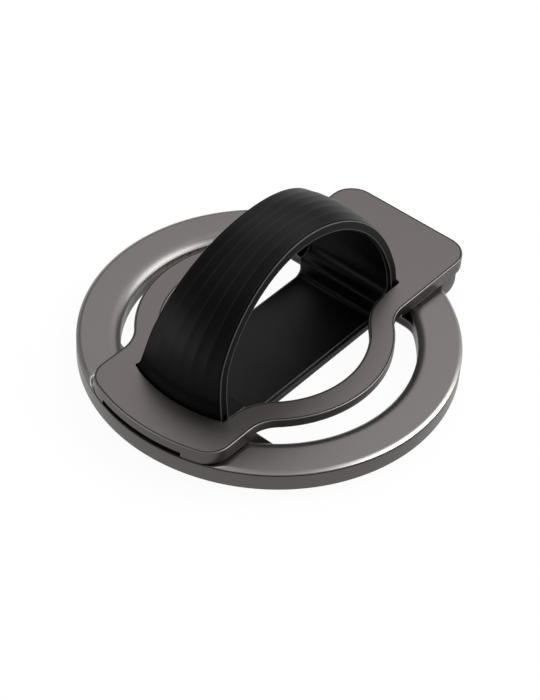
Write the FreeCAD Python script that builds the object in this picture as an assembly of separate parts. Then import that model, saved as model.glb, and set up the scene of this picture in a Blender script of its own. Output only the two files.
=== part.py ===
import FreeCAD, Part
import math
import os

# Magnetic phone ring holder: a round magnet base, a hinged stand frame and a silicone finger loop.
# Millimetres, +Z up. X runs across the finger loop, Y along it, and the hinge is at +Y.
# The origin is the centre of the magnet ring, on the face that meets the phone.

# Soft pad glued under the metal ring
pad_thick = 1.4
pad_inset = 1.5

# Metal base ring. The rounded inner rim is drawn as a few narrow bevels.
ring_outer_r = 29.0
ring_width = 6.7
ring_wall_height = 3.1
rim_slope_width = 0.55
rim_slope_rise = 0.3
rim_round_width = 1.75
rim_round_drop = 0.6
rim_round_bevels = 3
inner_ledge = 0.08

# Low shelves that narrow the ring's hole under the two tabs of the frame
shelf_height = 1.7
front_shelf_reach = 6.3
rear_shelf_reach = 4.4
shelf_corner_r = 1.2

# Recess in the top of the ring that each tab folds into, with sloping sides along the tab's outline
recess_below_wall = 0.1
recess_side_gap = 0.2
recess_ramp_width = 0.7
tab_gap = 0.15

# Magnets and the steel ring behind them, in a groove under the base ring
magnet_count = 16
groove_inner_wall = 1.5
groove_outer_wall = 1.9
magnet_thick = 1.3
magnet_gap = 0.25
magnet_wall_gap = 0.05
shield_thick = 0.4

# Stand frame: two tabs joined by two curved arms
tab_half_width = 12.35
tab_thick = 2.25
tab_corner_r = 4.0
tail_length = 5.15
frame_edge_break = 0.18
arm_width = 3.85
arm_thick = 1.4
arm_bow_inset = 2.8
arm_bow_centre_y = -1.3
neck_r = 6.05

# Fingernail notch under the front edge of the front tab
notch_left_x = -8.1
notch_right_x = 7.2
notch_height = 0.8
notch_depth = 1.0

# Finger loop, moulded in silicone: a strip of a spherical shell on a flat lower band.
# Its crown is drawn as a few lengthwise bands, outside and inside. The arch swells past its feet.
loop_ring_gap = 0.4
loop_thick = 1.65
loop_swell = 0.45
loop_outer_bands = 6
loop_inner_bands = 4
loop_centre_drop = 2.3
loop_side_gap = 0.25
loop_slot_gap = 0.2
loop_shelf_gap = 0.15
loop_wall_gap = 0.35
band_lift = 0.1
band_thick = 1.75
band_side_step = 0.85
foot_floor_thick = 1.6
foot_fillet_r = 2.0
foot_fillet_bevels = 3
riser_thick = 1.45

# How much narrower than its foot the loop's strip is on each side, against the angle up, in degrees
loop_taper = [(6.0, 0.0), (18.4, 1.3), (31.4, 1.95), (51.0, 2.6), (90.0, 3.37)]

# Clamp under each tab: the loop's flange, a steel strip and two screws behind the flange
flange_thick = 0.7
flange_reach = 1.8
clamp_strip_thick = 0.5
clamp_strip_overhang = 0.85
clamp_strip_rim = 0.1
clamp_gap = 0.15
clamp_screw_count = 2
clamp_screw_pitch = 13.0
screw_shank_r = 0.6
screw_head_r = 1.05
screw_head_height = 0.3
screw_length = 1.9
screw_slot_width = 0.3
screw_slot_depth = 0.2

# Hinge between the base ring and the rear tab
hinge_overhang = 0.1
hinge_rise = 1.4
knuckle_r = 1.6
knuckle_root_depth = 3.0
lug_r = 1.9
lug_width = 2.15
lug_side_inset = 0.35
lug_root_depth = 0.7
lug_wall_gap = 0.25
lug_blind_wall = 0.65
pin_r = 0.7
pin_running_gap = 0.02
pin_end_gap = 0.05
sleeve_thick = 0.28
sleeve_slit = 0.3
sleeve_end_gap = 0.2
washer_thick = 0.3
washer_outer_r = 1.5
washer_face_gap = 0.025

# Levels that follow from the sizes above
ring_bottom_z = pad_thick
ring_wall_top_z = ring_bottom_z + ring_wall_height
ring_top_z = ring_wall_top_z + rim_slope_rise
shelf_top_z = ring_bottom_z + shelf_height
recess_floor_z = ring_wall_top_z - recess_below_wall
tab_bottom_z = recess_floor_z + tab_gap
tab_top_z = tab_bottom_z + tab_thick
arm_bottom_z = tab_top_z - arm_thick
strip_bottom_z = tab_bottom_z + screw_head_height
strip_top_z = strip_bottom_z + clamp_strip_thick
pocket_top_z = strip_top_z + flange_thick
loop_centre_z = tab_top_z - loop_centre_drop
foot_bottom_z = shelf_top_z + loop_shelf_gap
foot_floor_z = foot_bottom_z + foot_floor_thick
hinge_z = ring_bottom_z + hinge_rise

# Base ring: radii and places that follow
ring_inner_r = ring_outer_r - ring_width
rim_round_r = (rim_round_width ** 2 + rim_round_drop ** 2) / (2 * rim_round_drop)
front_shelf_y = ring_inner_r - front_shelf_reach
rear_shelf_y = ring_inner_r - rear_shelf_reach
magnet_inner_r = ring_inner_r + groove_inner_wall
magnet_outer_r = ring_outer_r - groove_outer_wall

# Stand frame and its slots
neck_x = tab_half_width + neck_r
slot_half_width = tab_half_width - arm_width
slot_inner_neck_r = neck_r + arm_width
arm_bow_r = ring_inner_r - arm_bow_inset
arm_bow_inner_r = arm_bow_r - arm_width
neck_reach_y = math.sqrt((arm_bow_r + neck_r) ** 2 - neck_x ** 2)
front_neck_y = arm_bow_centre_y - neck_reach_y
rear_neck_y = arm_bow_centre_y + neck_reach_y

# Finger loop
loop_r = ring_inner_r - loop_ring_gap
arch_r = loop_r + loop_swell
arch_inner_r = arch_r - loop_thick
arch_foot_rise = math.sqrt(arch_r ** 2 - loop_r ** 2)
foot_top_z = loop_centre_z + arch_foot_rise
foot_inner_r = math.sqrt(arch_inner_r ** 2 - arch_foot_rise ** 2)
slot_end_r = loop_r + loop_slot_gap
slot_corner_y = math.sqrt(slot_end_r ** 2 - slot_half_width ** 2)
foot_half_width = slot_half_width - loop_side_gap
band_half_width = foot_half_width - band_side_step
front_band_y = front_shelf_y - loop_wall_gap
rear_band_y = rear_shelf_y - loop_wall_gap
front_riser_y = front_band_y - riser_thick
rear_riser_y = rear_band_y - riser_thick

# Clamps
flange_half_width = foot_half_width - loop_slot_gap
flange_root_y = (foot_inner_r + math.sqrt(loop_r ** 2 - flange_half_width ** 2)) / 2
flange_outer_y = slot_end_r + flange_reach
strip_half_width = flange_half_width + clamp_strip_overhang
strip_inner_y = slot_end_r + clamp_gap
clamp_screw_y = flange_outer_y + clamp_gap + screw_head_r
strip_outer_y = clamp_screw_y + screw_head_r + clamp_strip_rim

# Hinge
hinge_y = ring_outer_r + hinge_overhang
frame_rear_y = hinge_y + tail_length
lug_outer_x = tab_half_width - lug_side_inset
lug_inner_x = lug_outer_x - lug_width
knuckle_half_length = lug_inner_x - washer_thick - 2 * washer_face_gap
sleeve_outer_r = pin_r + pin_running_gap + sleeve_thick
pin_right_x = lug_outer_x - lug_blind_wall

# A length larger than the whole part, for cutting tools that must pass right through
through = 3 * ring_outer_r

UP = FreeCAD.Vector(0, 0, 1)
ACROSS = FreeCAD.Vector(1, 0, 0)
ALONG = FreeCAD.Vector(0, 1, 0)
CENTRE = FreeCAD.Vector(0, 0, 0)


def point(x, y, z=0.0):
    return FreeCAD.Vector(x, y, z)


def box(x_low, x_high, y_low, y_high, z_low, z_high):
    """A box given by its low and high sides."""
    corner = point(x_low, y_low, z_low)
    return Part.makeBox(x_high - x_low, y_high - y_low, z_high - z_low, corner)


def disc(radius, z_low, z_high):
    """An upright cylinder about the ring's centre."""
    return Part.makeCylinder(radius, z_high - z_low, point(0, 0, z_low), UP)


def annulus(inner_r, outer_r, z_low, z_high):
    return disc(outer_r, z_low, z_high).cut(disc(inner_r, z_low, z_high))


def hinge_rod(radius, x_low, x_high):
    """A cylinder along the hinge axis."""
    return Part.makeCylinder(radius, x_high - x_low, point(x_low, hinge_y, hinge_z), ACROSS)


def arc_edge(centre, radius, start_deg, end_deg):
    """A circular arc in the plane of the frame, from one angle to the other."""
    places = []
    for share in (0.0, 0.5, 1.0):
        angle = math.radians(start_deg + (end_deg - start_deg) * share)
        places.append(centre + point(radius * math.cos(angle), radius * math.sin(angle)))
    return Part.Arc(places[0], places[1], places[2]).toShape()


def bearing(start, end):
    """The angle of the line from one point to another, in degrees."""
    return math.degrees(math.atan2(end.y - start.y, end.x - start.x))


def mirrored_face(edges):
    """A flat face from the right half of its outline and that half mirrored across X = 0."""
    half = Part.Wire(edges)
    other = half.mirror(CENTRE, ACROSS)
    return Part.Face(Part.Wire(half.Edges + Part.Wire(other).Edges[::-1]))


def fuse_all(shapes):
    whole = shapes[0]
    for shape in shapes[1:]:
        whole = whole.fuse(shape)
    return whole.removeSplitter()


def bevelled_round(centre_x, centre_z, radius, start_deg, turn_deg, bevels):
    """Points of a round in the XZ plane, drawn as a few straight bevels."""
    places = []
    for number in range(bevels + 1):
        angle = math.radians(start_deg + turn_deg * number / bevels)
        places.append(point(centre_x + radius * math.cos(angle), 0, centre_z + radius * math.sin(angle)))
    return places


def filled(corners):
    """A flat face inside a closed run of straight lines."""
    return Part.Face(Part.makePolygon(corners + corners[:1]))


def rim_section():
    """Section of the metal ring: square below, a small outer slope and a wide inner rounding."""
    inner_x = ring_inner_r + inner_ledge
    corners = [
        point(inner_x, 0, ring_bottom_z),
        point(ring_outer_r, 0, ring_bottom_z),
        point(ring_outer_r, 0, ring_wall_top_z),
        point(ring_outer_r - rim_slope_width, 0, ring_top_z),
    ]
    turn = math.degrees(math.asin(rim_round_width / rim_round_r))
    rim = bevelled_round(inner_x + rim_round_width, ring_top_z - rim_round_r, rim_round_r, 90, turn,
                         rim_round_bevels)
    return filled(corners + rim)


def shelves():
    """The ring's low inner wall and its two shelves: a disc with the straight-ended hole cut out."""
    blank = disc((ring_inner_r + magnet_inner_r) / 2, ring_bottom_z, shelf_top_z)
    hole = disc(ring_inner_r, ring_bottom_z, shelf_top_z)
    hole = hole.common(box(-through, through, -front_shelf_y, rear_shelf_y, 0, through))
    corners = [edge for edge in hole.Edges if abs(edge.tangentAt(edge.FirstParameter).z) > 0.99]
    corners = [edge for edge in corners if abs(abs(edge.CenterOfMass.x)) > 1.0]
    hole = hole.makeFillet(shelf_corner_r, corners)
    return blank.cut(hole)


def tab_recess(y_low, y_high):
    """Cutting tool for one recess: a flat floor whose two straight sides ramp up past the ring's top."""
    floor = tab_half_width + recess_side_gap
    wide = floor + 2 * recess_ramp_width
    high = recess_floor_z + 2 * (ring_top_z - recess_floor_z)
    corners = [
        point(-floor, y_low, recess_floor_z),
        point(floor, y_low, recess_floor_z),
        point(wide, y_low, high),
        point(-wide, y_low, high),
    ]
    return filled(corners).extrude(point(0, y_high - y_low, 0))


def front_recess():
    """Cutting tool for the front recess, whose two outer corners follow the tab's round corners."""
    corner_x, corner_y = front_corner_place()
    tool = tab_recess(corner_y, -front_shelf_y)
    floor = tab_corner_r + recess_side_gap
    rise = 2 * (ring_top_z - recess_floor_z)
    middle = [
        point(0, corner_y, recess_floor_z),
        point(corner_x, corner_y, recess_floor_z),
        point(corner_x * through / -corner_y, -through, recess_floor_z),
        point(-corner_x * through / -corner_y, -through, recess_floor_z),
        point(-corner_x, corner_y, recess_floor_z),
    ]
    tool = tool.fuse(filled(middle).extrude(point(0, 0, rise)))
    for side in (-1, 1):
        place = point(side * corner_x, corner_y, recess_floor_z)
        tool = tool.fuse(Part.makeCone(floor, floor + 2 * recess_ramp_width, rise, place, UP))
    return tool


def hinge_notch(side):
    """Room in the ring's outer wall for one lug of the frame, on the side of that sign."""
    near = side * knuckle_half_length
    far = side * (lug_outer_x + lug_wall_gap)
    wall = hinge_y - lug_r - lug_wall_gap
    return box(min(near, far), max(near, far), wall, through, 0, through)


def base_ring():
    """Die-cast ring with its two shelves, the hinge knuckle and the magnet groove."""
    ring = rim_section().revolve(CENTRE, UP, 360)
    knuckle_box = box(-knuckle_half_length, knuckle_half_length, hinge_y - knuckle_root_depth,
                      hinge_y, ring_bottom_z, hinge_z + knuckle_r)
    knuckle_end = hinge_rod(knuckle_r, -knuckle_half_length, knuckle_half_length)
    ring = ring.fuse(shelves())
    ring = ring.cut(front_recess())
    ring = ring.cut(tab_recess(front_shelf_y, through))
    for side in (-1, 1):
        ring = ring.cut(hinge_notch(side))
    ring = fuse_all([ring, knuckle_box, knuckle_end])
    ring = ring.cut(hinge_rod(sleeve_outer_r, -knuckle_half_length, knuckle_half_length))
    groove_top = ring_bottom_z + magnet_thick + shield_thick
    ring = ring.cut(annulus(magnet_inner_r, magnet_outer_r, ring_bottom_z, groove_top))
    return ring


def base_pad():
    """Soft pad, set in from both walls of the ring so that it can't be seen from above."""
    return annulus(ring_inner_r + pad_inset, ring_outer_r - pad_inset, 0, pad_thick)


def magnet_shield():
    """Thin steel ring at the top of the groove, which turns the magnets' pull downwards."""
    low = ring_bottom_z + magnet_thick
    return annulus(magnet_inner_r, magnet_outer_r, low, low + shield_thick)


def magnet(number):
    """One straight-sided magnet, tapered to its share of the ring less a glue gap."""
    half_turn = math.pi / magnet_count
    inner_x = magnet_inner_r + magnet_wall_gap
    outer_x = (magnet_outer_r - magnet_wall_gap) * math.cos(half_turn)
    glue = magnet_gap / (2 * math.cos(half_turn))
    inner_y = inner_x * math.tan(half_turn) - glue
    outer_y = outer_x * math.tan(half_turn) - glue
    corners = [
        point(inner_x, -inner_y, ring_bottom_z),
        point(outer_x, -outer_y, ring_bottom_z),
        point(outer_x, outer_y, ring_bottom_z),
        point(inner_x, inner_y, ring_bottom_z),
    ]
    tile = filled(corners).extrude(point(0, 0, magnet_thick))
    tile.rotate(CENTRE, UP, (number + 0.5) * 360 / magnet_count)
    return tile


def front_corner_place():
    """Centre of the front tab's right corner, whose arc runs on smoothly from the ring's circle."""
    corner_x = tab_half_width - tab_corner_r
    return corner_x, -math.sqrt((ring_outer_r - tab_corner_r) ** 2 - corner_x ** 2)


def frame_outline():
    """Outer edge of the frame, from the middle of its front edge round to the middle of its rear."""
    corner_x, front_corner_y = front_corner_place()
    front_corner = point(corner_x, front_corner_y)
    rear_corner = point(corner_x, frame_rear_y - tab_corner_r)
    bow = point(0, arm_bow_centre_y)
    front_neck = point(neck_x, front_neck_y)
    rear_neck = point(neck_x, rear_neck_y)
    front_turn = bearing(CENTRE, front_corner)
    neck_turn = bearing(bow, rear_neck)
    return mirrored_face([
        arc_edge(CENTRE, ring_outer_r, -90, front_turn),
        arc_edge(front_corner, tab_corner_r, front_turn, 0),
        Part.makeLine(point(tab_half_width, front_corner_y), point(tab_half_width, front_neck_y)),
        arc_edge(front_neck, neck_r, 180, 180 - neck_turn),
        arc_edge(bow, arm_bow_r, -neck_turn, neck_turn),
        arc_edge(rear_neck, neck_r, 180 + neck_turn, 180),
        Part.makeLine(point(tab_half_width, rear_neck_y), point(tab_half_width, rear_corner.y)),
        arc_edge(rear_corner, tab_corner_r, 0, 90),
        Part.makeLine(point(corner_x, frame_rear_y), point(0, frame_rear_y)),
    ])


def slot_outline():
    """Opening of the frame: the bowed window between the arms and a slot at each end of it."""
    bow = point(0, arm_bow_centre_y)
    front_neck = point(neck_x, front_neck_y)
    rear_neck = point(neck_x, rear_neck_y)
    neck_turn = bearing(bow, rear_neck)
    end_turn = math.degrees(math.acos(slot_half_width / slot_end_r))
    return mirrored_face([
        arc_edge(CENTRE, slot_end_r, -90, -end_turn),
        Part.makeLine(point(slot_half_width, -slot_corner_y), point(slot_half_width, front_neck_y)),
        arc_edge(front_neck, slot_inner_neck_r, 180, 180 - neck_turn),
        arc_edge(bow, arm_bow_inner_r, -neck_turn, neck_turn),
        arc_edge(rear_neck, slot_inner_neck_r, 180 + neck_turn, 180),
        Part.makeLine(point(slot_half_width, rear_neck_y), point(slot_half_width, slot_corner_y)),
        arc_edge(CENTRE, slot_end_r, end_turn, 90),
    ])


def plate(face, z_low, z_high):
    """A flat outline given its thickness."""
    placed = face.copy()
    placed.translate(point(0, 0, z_low))
    return placed.extrude(point(0, 0, z_high - z_low))


def broken_top_edges(shape):
    """The same plate with a narrow bevel round every edge of its top face."""
    edges = [edge for edge in shape.Edges
             if min(vertex.Z for vertex in edge.Vertexes) > tab_top_z - 0.001]
    return shape.makeChamfer(frame_edge_break, edges)


def end_box(side, half_width, y_near, y_far, z_low, z_high):
    """A box at the end of the frame of that sign in Y, between two distances from the centre."""
    y_low = min(side * y_near, side * y_far)
    y_high = max(side * y_near, side * y_far)
    return box(-half_width, half_width, y_low, y_high, z_low, z_high)


def clamp_places(side):
    """Centres of the clamp screws at one end."""
    middle = (clamp_screw_count - 1) / 2
    return [point((number - middle) * clamp_screw_pitch, side * clamp_screw_y)
            for number in range(clamp_screw_count)]


def upright_rod(place, radius, z_low, z_high):
    return Part.makeCylinder(radius, z_high - z_low, point(place.x, place.y, z_low), UP)


def screw_blank(place):
    """Flat-headed screw, head down under the strip, without its driver slot."""
    head = upright_rod(place, screw_head_r, tab_bottom_z, strip_bottom_z)
    shank = upright_rod(place, screw_shank_r, tab_bottom_z, tab_bottom_z + screw_length)
    return head.fuse(shank).removeSplitter()


def lug(side):
    """One ear of the frame, round about the hinge axis and straight up to the tab."""
    near = side * lug_inner_x
    far = side * lug_outer_x
    low = min(near, far)
    high = max(near, far)
    ear = box(low, high, hinge_y - lug_r, hinge_y + lug_r, hinge_z, tab_bottom_z + lug_root_depth)
    return ear.fuse(hinge_rod(lug_r, low, high))


def fingernail_notch():
    band = annulus(ring_outer_r - notch_depth, through, tab_bottom_z, tab_bottom_z + notch_height)
    return band.common(box(notch_left_x, notch_right_x, -through, 0, 0, through))


def clamp_pocket(side):
    """Stepped pocket under one tab: deep for the loop's flange, wide for the strip and screw heads."""
    wide = end_box(side, strip_half_width + clamp_gap, slot_corner_y, strip_outer_y + clamp_gap,
                   tab_bottom_z, strip_top_z)
    deep = end_box(side, flange_half_width + clamp_gap, slot_corner_y, flange_outer_y + clamp_gap,
                   strip_top_z, pocket_top_z)
    return wide.fuse(deep)


def stand_frame():
    """One metal plate: thick tabs at both ends, thin bowed arms, two hinge ears at the rear."""
    outline = frame_outline()
    whole = broken_top_edges(plate(outline.cut(slot_outline()), tab_bottom_z, tab_top_z))
    under_arms = box(-through, through, front_neck_y, rear_neck_y, 0, arm_bottom_z)
    frame = whole.cut(under_arms)
    for side in (-1, 1):
        frame = frame.fuse(lug(side))
        frame = frame.cut(clamp_pocket(side))
        for place in clamp_places(side):
            frame = frame.cut(screw_blank(place))
    frame = frame.cut(fingernail_notch())
    frame = frame.cut(hinge_rod(pin_r, -lug_outer_x, pin_right_x))
    return frame.removeSplitter()


def loop_width_tool():
    """Front view of the loop, right through along Y: straight foot, then the tapering strip."""
    low = point(band_half_width, -through, 0)
    edge = []
    for angle, taper in loop_taper:
        height = loop_centre_z + arch_r * math.sin(math.radians(angle))
        edge.append(point(foot_half_width - taper, -through, height))
    top = edge[-1] + point(0, 0, loop_thick)
    edges = [
        Part.makeLine(low, edge[0]),
        spline_edge(edge),
        Part.makeLine(edge[-1], top),
    ]
    half = Part.Wire(edges)
    other = half.mirror(CENTRE, ACROSS)
    lid = Part.makeLine(top, point(-top.x, top.y, top.z))
    floor = Part.makeLine(point(-band_half_width, -through, 0), low)
    outline = Part.Wire(half.Edges + [lid] + Part.Wire(other).Edges[::-1] + [floor])
    return Part.Face(outline).extrude(point(0, 2 * through, 0))


def spline_edge(places):
    curve = Part.BSplineCurve()
    curve.interpolate(places)
    return curve.toShape()


def crown_points(radius, bands):
    """Points across the loop on a circle about its centre, in the plane of that centre."""
    places = []
    for number in range(bands + 1):
        x = slot_half_width * (2 * number / bands - 1)
        places.append(point(x, math.sqrt(radius ** 2 - x ** 2), loop_centre_z))
    return places


def loop_arch():
    """Half turn of the crowned section about X, cut off level where the feet meet it."""
    outer = crown_points(arch_r, loop_outer_bands)
    inner = crown_points(arch_inner_r, loop_inner_bands)
    arch = filled(outer + inner[::-1]).revolve(point(0, 0, loop_centre_z), ACROSS, 180)
    return arch.common(box(-through, through, -through, through, foot_top_z, through))


def loop_foot(side, riser_y):
    """One foot, turned about Z: a floor over the ring's shelf, filleted up into its upright wall."""
    fillet = bevelled_round(foot_inner_r - foot_fillet_r, foot_floor_z + foot_fillet_r, foot_fillet_r,
                            270, 90, foot_fillet_bevels)
    corners = [
        point(foot_inner_r, 0, foot_top_z),
        point(loop_r, 0, foot_top_z),
        point(loop_r, 0, foot_bottom_z),
        point(0, 0, foot_bottom_z),
        point(0, 0, foot_floor_z),
    ]
    foot = filled(corners + fillet).revolve(CENTRE, UP, 360)
    return foot.common(end_box(side, through, riser_y, through, 0, through))


def loop_plugs():
    """Lower band and the thick riser at each end of it, which fill the hole up to the shelves."""
    wide = 2 * foot_half_width
    band = box(-wide, wide, -front_band_y, rear_band_y, band_lift, band_lift + band_thick)
    front = end_box(-1, wide, front_riser_y, front_band_y, band_lift, foot_floor_z)
    rear = end_box(1, wide, rear_riser_y, rear_band_y, band_lift, foot_floor_z)
    return [band, front, rear]


def loop_flange(side):
    """Thin flange that the strip presses against the roof of its pocket."""
    return end_box(side, flange_half_width, flange_root_y, flange_outer_y, strip_top_z, pocket_top_z)


def finger_loop():
    """The whole silicone loop, moulded in one piece."""
    parts = [loop_arch(), loop_foot(-1, front_riser_y), loop_foot(1, rear_riser_y)]
    body = fuse_all(parts + loop_plugs()).common(loop_width_tool())
    return fuse_all([body, loop_flange(-1), loop_flange(1)])


def clamp_strip(side):
    """Thin steel strip that presses the loop's flange into its pocket."""
    strip = end_box(side, strip_half_width, strip_inner_y, strip_outer_y, strip_bottom_z, strip_top_z)
    for place in clamp_places(side):
        strip = strip.cut(upright_rod(place, screw_shank_r, strip_bottom_z, strip_top_z))
    return strip


def clamp_screws(side):
    """The screws of one clamp, each with a straight driver slot."""
    screws = []
    for place in clamp_places(side):
        slot = box(place.x - screw_head_r, place.x + screw_head_r,
                   place.y - screw_slot_width / 2, place.y + screw_slot_width / 2,
                   tab_bottom_z, tab_bottom_z + screw_slot_depth)
        screws.append(screw_blank(place).cut(slot))
    return Part.makeCompound(screws)


def hinge_pin():
    """Steel pin, pressed into both ears: through the left one, blind in the right one."""
    return hinge_rod(pin_r, -lug_outer_x + pin_end_gap, pin_right_x - pin_end_gap)


def friction_sleeve():
    """Split spring sleeve pressed into the knuckle, which grips the pin and holds any angle."""
    reach = knuckle_half_length - sleeve_end_gap
    sleeve = hinge_rod(sleeve_outer_r, -reach, reach).cut(hinge_rod(pin_r + pin_running_gap, -reach, reach))
    slit = box(-reach, reach, hinge_y - sleeve_slit / 2, hinge_y + sleeve_slit / 2, -through, hinge_z)
    return sleeve.cut(slit)


def hinge_washer(side):
    """Thrust washer between the knuckle and one ear."""
    near = knuckle_half_length + washer_face_gap
    low = near if side > 0 else -near - washer_thick
    washer = hinge_rod(washer_outer_r, low, low + washer_thick)
    return washer.cut(hinge_rod(pin_r + pin_running_gap, low, low + washer_thick))


nodes = {
    "base_ring": base_ring(),
    "base_pad": base_pad(),
    "magnet_shield": magnet_shield(),
    "stand_frame": stand_frame(),
    "finger_loop": finger_loop(),
    "front_clamp_strip": clamp_strip(-1),
    "rear_clamp_strip": clamp_strip(1),
    "front_clamp_screws": clamp_screws(-1),
    "rear_clamp_screws": clamp_screws(1),
    "hinge_pin": hinge_pin(),
    "friction_sleeve": friction_sleeve(),
    "left_hinge_washer": hinge_washer(-1),
    "right_hinge_washer": hinge_washer(1),
}
for number in range(magnet_count):
    nodes["magnet_%02d" % (number + 1)] = magnet(number)

os.makedirs("parts", exist_ok=True)
for name, shape in nodes.items():
    shape.exportStep("parts/%s.step" % name)
    print("%-20s %d solid %9.2f mm3 %s" % (name, len(shape.Solids), shape.Volume, shape.isValid()))
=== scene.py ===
import math

import bmesh
import bpy
import numpy as np
from mathutils import Matrix, Vector


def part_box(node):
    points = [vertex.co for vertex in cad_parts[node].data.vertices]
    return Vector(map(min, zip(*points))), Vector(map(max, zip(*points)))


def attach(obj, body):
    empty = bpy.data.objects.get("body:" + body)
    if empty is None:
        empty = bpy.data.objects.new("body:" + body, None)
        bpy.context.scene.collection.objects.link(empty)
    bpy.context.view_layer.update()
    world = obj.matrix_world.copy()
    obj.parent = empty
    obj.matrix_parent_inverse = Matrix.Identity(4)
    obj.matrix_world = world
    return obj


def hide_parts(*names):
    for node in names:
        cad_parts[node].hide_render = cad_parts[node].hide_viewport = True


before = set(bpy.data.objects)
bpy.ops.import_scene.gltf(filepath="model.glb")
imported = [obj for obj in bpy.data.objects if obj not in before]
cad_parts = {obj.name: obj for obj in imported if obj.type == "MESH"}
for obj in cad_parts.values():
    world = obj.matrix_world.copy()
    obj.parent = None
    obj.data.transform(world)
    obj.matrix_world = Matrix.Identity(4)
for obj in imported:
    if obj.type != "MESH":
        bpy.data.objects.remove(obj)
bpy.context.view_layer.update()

# Studio: a pale floor, soft lamps, and a camera right of and above the front of the ring holder.
# Its sizes are in metres and its angles in degrees. The object's own sizes, further down, are in
# millimetres, and MM turns them to metres.
MM = 0.001
CAMERA_AZIMUTH = 37.6727
CAMERA_ELEVATION = 43.6269
CAMERA_ROLL = 3.8501
CAMERA_DISTANCE = 0.325
CAMERA_AIM = Vector((0.0511, 0.2286, 0.9871)) * MM
CAMERA_LENS = 110.4
CAMERA_SENSOR = 36.0
FLOOR_COLUMNS = 64
FLOOR_MIDDLE_R = 0.02
FLOOR_INNER_R = 0.5
FLOOR_DROP = 0.00002
FLOOR_FLAT_R = 2.2
FLOOR_RIM_R = 3.0
FLOOR_RIM_HEIGHT = 0.5
FLOOR_GREY = (0.8, 0.8, 0.8, 1.0)
FLOOR_WHITE_SHARE = 0.955
WHITE = (1.0, 1.0, 1.0, 1.0)
WORLD_LEVEL = 0.35


def direction(azimuth, elevation):
    """Unit vector towards a point seen at that azimuth, 0 at the front and 90 at the right."""
    turn = math.radians(azimuth)
    lift = math.radians(elevation)
    return Vector((math.cos(lift) * math.sin(turn), -math.cos(lift) * math.cos(turn), math.sin(lift)))


def set_camera():
    back = direction(CAMERA_AZIMUTH, CAMERA_ELEVATION)
    level = direction(CAMERA_AZIMUTH + 90, 0)
    roll = math.radians(CAMERA_ROLL)
    right = level * math.cos(roll) + back.cross(level) * math.sin(roll)
    axes = Matrix((right, back.cross(right), back)).transposed()
    data = bpy.data.cameras.new("camera")
    data.lens = CAMERA_LENS
    data.sensor_width = CAMERA_SENSOR
    data.clip_start = 0.01
    data.clip_end = 20.0
    camera = bpy.data.objects.new("camera", data)
    camera.matrix_world = Matrix.Translation(CAMERA_AIM + back * CAMERA_DISTANCE) @ axes.to_4x4()
    bpy.context.scene.collection.objects.link(camera)
    bpy.context.scene.camera = camera


def soft_lamp(name, azimuth, elevation, distance, size, watts):
    """A rectangular area lamp aimed at the object from that direction."""
    data = bpy.data.lights.new(name, "AREA")
    data.shape = "RECTANGLE"
    data.size = size[0]
    data.size_y = size[1]
    data.energy = watts
    lamp = bpy.data.objects.new(name, data)
    away = direction(azimuth, elevation)
    lamp.rotation_mode = "QUATERNION"
    lamp.rotation_quaternion = away.to_track_quat("Z", "Y")
    lamp.location = away * distance
    bpy.context.scene.collection.objects.link(lamp)


class Wire:
    """A shader socket that takes part in arithmetic, which adds the Math nodes that it needs."""

    def __init__(self, finish, socket):
        self.finish = finish
        self.socket = socket

    def __add__(self, other):
        return self.finish.maths("ADD", self, other)

    def __sub__(self, other):
        return self.finish.maths("SUBTRACT", self, other)

    def __rsub__(self, other):
        return self.finish.maths("SUBTRACT", other, self)

    def __mul__(self, other):
        return self.finish.maths("MULTIPLY", self, other)

    __radd__ = __add__
    __rmul__ = __mul__


class Finish:
    """A node tree being wired, with one way to add any node."""

    def __init__(self, tree):
        self.tree = tree

    def plug(self, socket, value):
        if isinstance(value, Wire):
            self.tree.links.new(value.socket, socket)
        else:
            socket.default_value = value

    def node(self, kind, settings=(), inputs=(), output=0):
        """A node of that kind, its settings made first, then its inputs by name or number."""
        made = self.tree.nodes.new(kind)
        for name, value in dict(settings).items():
            setattr(made, name, value)
        for name, value in dict(inputs).items():
            self.plug(made.inputs[name], value)
        return Wire(self, made.outputs[output])

    def maths(self, operation, first, second):
        return self.node("ShaderNodeMath", {"operation": operation}, {0: first, 1: second})


def seen_directly(finish):
    """1 for rays of the camera, of gloss and of glass, and 0 for those that carry diffuse light."""
    camera = finish.node("ShaderNodeLightPath", output="Is Camera Ray")
    gloss = finish.node("ShaderNodeLightPath", output="Is Glossy Ray")
    glass = finish.node("ShaderNodeLightPath", output="Is Transmission Ray")
    return finish.maths("MINIMUM", camera + gloss + glass, 1.0)


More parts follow.
